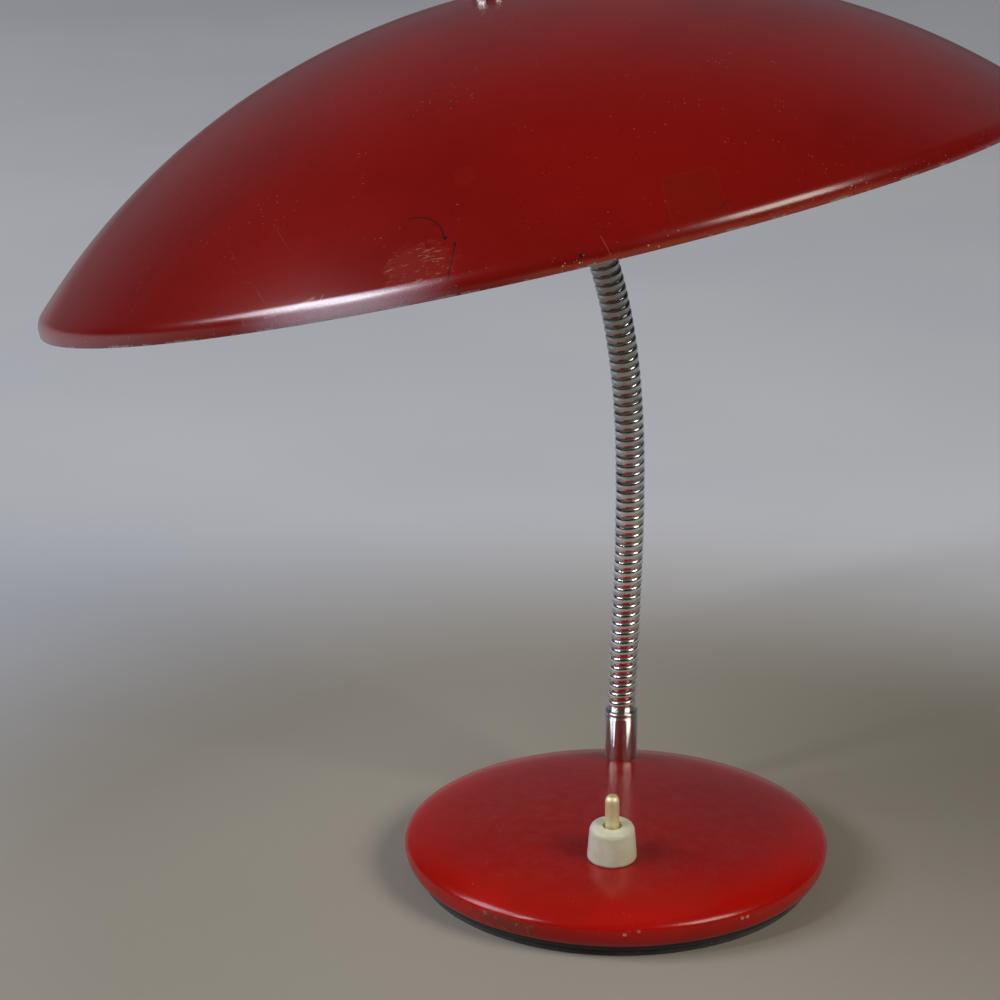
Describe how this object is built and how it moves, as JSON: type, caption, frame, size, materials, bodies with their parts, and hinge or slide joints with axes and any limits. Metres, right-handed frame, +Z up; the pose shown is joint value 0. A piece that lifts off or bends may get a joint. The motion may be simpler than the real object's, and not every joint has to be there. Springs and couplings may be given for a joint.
{
  "type": "gooseneck desk lamp",
  "caption": "Desk lamp with a round domed base, push-button switch, ribbed gooseneck arm and a wide shallow dished metal shade on a tilting knuckle.",
  "frame": {"origin": "centre of the felt under the round base, on the table", "axes": "+Z up; -Y is the front, where the push button is; +Y is the rear, where the arm stands; +X is to the right"},
  "size_m": [0.3744, 0.3815, 0.3631],
  "materials": {
    "red_lacquer": "satin",
    "chrome": "polished",
    "ivory_plastic": "satin",
    "brass": "satin",
    "black_steel": "satin",
    "felt": "matte",
    "cast_iron": "matte",
    "zinc_steel": "satin",
    "black_plastic": "satin",
    "brown_bakelite": "satin",
    "porcelain": "satin",
    "white_plastic": "satin",
    "lead_sheath": "matte",
    "opal_glass": "satin"
  },
  "bodies": {
    "base": {"felt_pad": "felt", "bottom_plate": "black_steel", "plate_screws": "zinc_steel", "base_weight": "cast_iron", "base_cover": "red_lacquer", "cord_inlet_bush": "black_plastic", "terminal_block": "porcelain", "terminal_screws": "brass", "arm_ferrule": "chrome", "arm_stub": "zinc_steel", "arm_washer": "zinc_steel", "arm_nut": "zinc_steel", "switch_cap": "ivory_plastic", "switch_neck": "brass", "switch_nut": "brass", "switch_housing": "brown_bakelite", "switch_terminals": "brass", "switch_spring": "zinc_steel", "neck_link_1": "chrome", "neck_lead": "lead_sheath"},
    "button": {"push_button": "brass"},
    "neck_2": {"neck_link_2": "chrome"},
    "neck_3": {"neck_link_3": "chrome"},
    "neck_4": {"neck_link_4": "chrome"},
    "neck_5": {"neck_link_5": "chrome"},
    "neck_6": {"neck_link_6": "chrome"},
    "neck_7": {"neck_link_7": "chrome"},
    "neck_8": {"neck_link_8": "chrome"},
    "neck_9": {"neck_link_9": "chrome", "top_ferrule": "chrome"},
    "swivel": {"swivel_fork": "zinc_steel", "swivel_clip": "zinc_steel", "tilt_screw": "zinc_steel", "tilt_washer": "zinc_steel", "tilt_nut": "brass"},
    "head": {"tilt_tongue": "zinc_steel", "hub": "zinc_steel", "centre_tube": "zinc_steel", "holder_bridge": "zinc_steel", "jam_nut": "zinc_steel", "holder_shells": "white_plastic", "holder_rings": "white_plastic", "holder_cores": "porcelain", "holder_contacts": "brass", "bulb_caps": "brass", "bulb_glasses": "opal_glass", "shade": "red_lacquer", "shade_nut": "zinc_steel", "top_washer": "chrome", "finial": "chrome"}
  },
  "joints": [
    {"name": "neck_side_1", "type": "hinge", "parent": "base", "child": "neck_2", "pos_m": [0.00106, 0.05758, 0.07708], "axis": [0.0005, 0.9999, 0.0147], "range_deg": [-9, 11], "deforming": ["neck_lead"]},
    {"name": "neck_front_2", "type": "hinge", "parent": "neck_2", "child": "neck_3", "pos_m": [0.002, 0.05684, 0.10616], "axis": [0.9997, 0.0011, -0.025], "range_deg": [-11, 7]},
    {"name": "neck_side_3", "type": "hinge", "parent": "neck_3", "child": "neck_4", "pos_m": [0.00252, 0.05513, 0.1352], "axis": [0.0003, 0.9967, 0.0806], "range_deg": [-9, 11]},
    {"name": "neck_front_4", "type": "hinge", "parent": "neck_4", "child": "neck_5", "pos_m": [0.00218, 0.05216, 0.16415], "axis": [0.9994, -0.0046, 0.0353], "range_deg": [-11, 7]},
    {"name": "neck_side_5", "type": "hinge", "parent": "neck_5", "child": "neck_6", "pos_m": [0.00044, 0.04767, 0.19284], "axis": [-0.0178, 0.983, 0.1827], "range_deg": [-9, 11]},
    {"name": "neck_front_6", "type": "hinge", "parent": "neck_6", "child": "neck_7", "pos_m": [-0.00335, 0.04148, 0.22103], "axis": [0.9841, -0.044, 0.1723], "range_deg": [-11, 7]},
    {"name": "neck_side_7", "type": "hinge", "parent": "neck_7", "child": "neck_8", "pos_m": [-0.00989, 0.03352, 0.24824], "axis": [-0.0902, 0.9529, 0.2896], "range_deg": [-9, 11]},
    {"name": "neck_front_8", "type": "hinge", "parent": "neck_8", "child": "neck_9", "pos_m": [-0.01981, 0.02387, 0.27384], "axis": [0.912, -0.1599, 0.3777], "range_deg": [-11, 7]},
    {"name": "head_swivel", "type": "hinge", "parent": "neck_9", "child": "swivel", "pos_m": [-0.04225, 0.00612, 0.31125], "axis": [-0.4765, -0.377, 0.7943], "range_deg": [-150, 150]},
    {"name": "head_tilt", "type": "hinge", "parent": "swivel", "child": "head", "pos_m": [-0.04225, 0.00612, 0.31125], "axis": [0.8267, -0.4996, 0.2589], "range_deg": [-11, 70]},
    {"name": "button_press", "type": "slide", "parent": "base", "child": "button", "axis": [0, 0.0976, -0.9952], "range_m": [0, 0.003], "stiffness_N_per_m": 500, "springref_m": -0.002, "deforming": ["switch_spring"]}
  ]
}
